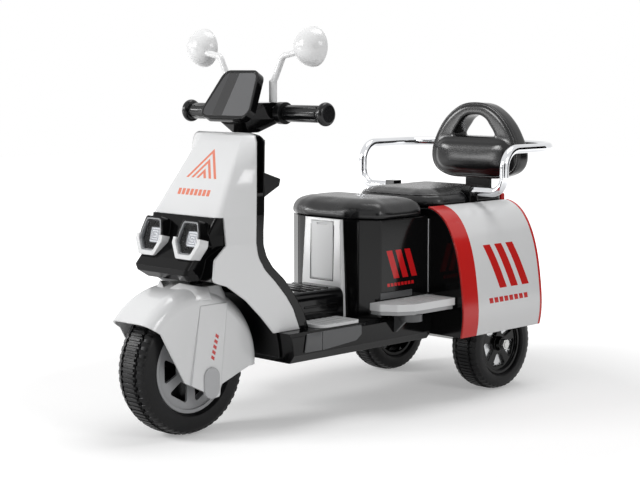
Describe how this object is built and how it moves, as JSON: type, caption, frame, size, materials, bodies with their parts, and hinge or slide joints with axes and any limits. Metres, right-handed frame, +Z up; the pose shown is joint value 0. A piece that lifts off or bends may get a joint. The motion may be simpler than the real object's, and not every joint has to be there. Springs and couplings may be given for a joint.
{
  "type": "kids electric motorbike",
  "caption": "Child's electric ride-on scooter with one steered front wheel, driven rear axle, step-through floor, padded seat, pillion seat with backrest and chrome grab rail.",
  "frame": {"origin": "on the ground under the middle of the scooter's length and width", "axes": "+X forward, +Y to the rider's left, +Z up"},
  "size_m": [0.9554, 0.3942, 0.685],
  "materials": {
    "tyre_rubber": "satin black rubber",
    "grey_hub": "satin light grey",
    "black_plastic": "gloss black",
    "dark_grey_plastic": "satin dark grey",
    "white_plastic": "gloss white",
    "grip_rubber": "satin black",
    "steel": "plain",
    "chrome": "polished",
    "clear_lens": "clear",
    "mirror_glass": "polished",
    "seat_leather": "satin black",
    "red_plastic": "gloss red",
    "nylon": "natural nylon",
    "battery_case": "matt"
  },
  "bodies": {
    "chassis": {"leg_shield_front": "white_plastic", "leg_shield_inner": "black_plastic", "steering_bushes": "nylon", "bag_hook": "black_plastic", "headlight_housing": "black_plastic", "lamp_bezels": "dark_grey_plastic", "lamp_trims": "white_plastic", "lamp_reflectors": "chrome", "lamp_lenses": "clear_lens", "chassis_base": "black_plastic", "foot_mats": "dark_grey_plastic", "sill_panels": "dark_grey_plastic", "floor_tunnel": "dark_grey_plastic", "seat_box": "black_plastic", "seat_box_front": "white_plastic", "battery": "battery_case", "control_board": "battery_case", "charging_socket": "black_plastic", "front_seat": "seat_leather", "rear_body": "black_plastic", "side_panel_left": "white_plastic", "side_panel_right": "white_plastic", "rear_steps": "white_plastic", "step_brackets": "black_plastic", "rear_seat": "seat_leather", "backrest": "seat_leather", "backrest_post": "black_plastic", "grab_rail": "chrome", "tail_light": "red_plastic", "rear_axle": "steel", "gearbox_housing": "black_plastic", "motor": "steel"},
    "front_wheel": {"front_tyre": "tyre_rubber", "front_hub": "grey_hub"},
    "steering": {"steering_fork": "steel", "front_axle": "steel", "front_mudguard": "white_plastic", "fork_caps": "dark_grey_plastic", "handlebar_tube": "steel", "handlebar_cover_front": "black_plastic", "handlebar_cover_rear": "black_plastic", "dash_plate": "dark_grey_plastic", "bar_collars": "black_plastic", "grips": "grip_rubber"},
    "mirror_left": {"mirror_left": "black_plastic", "mirror_glass_left": "mirror_glass"},
    "mirror_right": {"mirror_right": "black_plastic", "mirror_glass_right": "mirror_glass"},
    "horn_button": {"horn_button": "black_plastic"},
    "music_button": {"music_button": "black_plastic"},
    "battery_hatch": {"battery_hatch": "white_plastic"},
    "foot_pedal": {"foot_pedal": "dark_grey_plastic"},
    "rear_wheel_left": {"rear_tyre_left": "tyre_rubber", "rear_hub_left": "black_plastic", "brake_disc_left": "steel"},
    "rear_wheel_right": {"rear_tyre_right": "tyre_rubber", "rear_hub_right": "black_plastic", "brake_disc_right": "steel"},
    "reduction_gear": {"reduction_gear": "nylon"},
    "motor_pinion": {"motor_pinion": "nylon"}
  },
  "joints": [
    {"name": "steering", "type": "hinge", "parent": "chassis", "child": "steering", "pos_m": [0.26123, 0, 0.4], "axis": [-0.4226, 0, 0.9063], "range_deg": [-30, 30]},
    {"name": "front_wheel_spin", "type": "hinge", "parent": "steering", "child": "front_wheel", "pos_m": [0.36175, 0, 0.116], "axis": [0, 1, 0], "continuous": true},
    {"name": "rear_wheel_left_spin", "type": "hinge", "parent": "chassis", "child": "rear_wheel_left", "pos_m": [-0.30425, 0.135, 0.088], "axis": [0, 1, 0], "continuous": true},
    {"name": "rear_wheel_right_spin", "type": "hinge", "parent": "chassis", "child": "rear_wheel_right", "pos_m": [-0.30425, -0.135, 0.088], "axis": [0, 1, 0], "continuous": true},
    {"name": "reduction_gear_spin", "type": "hinge", "parent": "chassis", "child": "reduction_gear", "pos_m": [-0.27609, -0.086, 0.10492], "axis": [0, 1, 0], "continuous": true},
    {"name": "motor_pinion_spin", "type": "hinge", "parent": "chassis", "child": "motor_pinion", "pos_m": [-0.25608, -0.0795, 0.11694], "axis": [0, 1, 0], "continuous": true},
    {"name": "mirror_left_swivel", "type": "hinge", "parent": "steering", "child": "mirror_left", "pos_m": [0.19875, 0.055, 0.557], "axis": [0, 0, 1], "range_deg": [-25, 25]},
    {"name": "mirror_right_swivel", "type": "hinge", "parent": "steering", "child": "mirror_right", "pos_m": [0.19875, -0.055, 0.557], "axis": [0, 0, 1], "range_deg": [-25, 25]},
    {"name": "battery_hatch_hinge", "type": "hinge", "parent": "chassis", "child": "battery_hatch", "pos_m": [0.02193, 0, 0.2338], "axis": [0, 1, 0], "range_deg": [0, 75]},
    {"name": "foot_pedal_hinge", "type": "hinge", "parent": "chassis", "child": "foot_pedal", "pos_m": [0.06976, -0.092, 0.175], "axis": [0, 1, 0], "range_deg": [0, 10], "stiffness_Nm_per_rad": 0.6, "springref_deg": -17.19},
    {"name": "horn_button_press", "type": "slide", "parent": "steering", "child": "horn_button", "axis": [1, 0, 0], "range_m": [0, 0.002], "stiffness_N_per_m": 400, "springref_m": -0.002},
    {"name": "music_button_press", "type": "slide", "parent": "steering", "child": "music_button", "axis": [1, 0, 0], "range_m": [0, 0.002], "stiffness_N_per_m": 400, "springref_m": -0.002}
  ],
  "couplings": [
    {"joint": "reduction_gear_spin", "follows": "rear_wheel_right_spin", "ratio": -3.3333},
    {"joint": "motor_pinion_spin", "follows": "rear_wheel_right_spin", "ratio": 12}
  ]
}
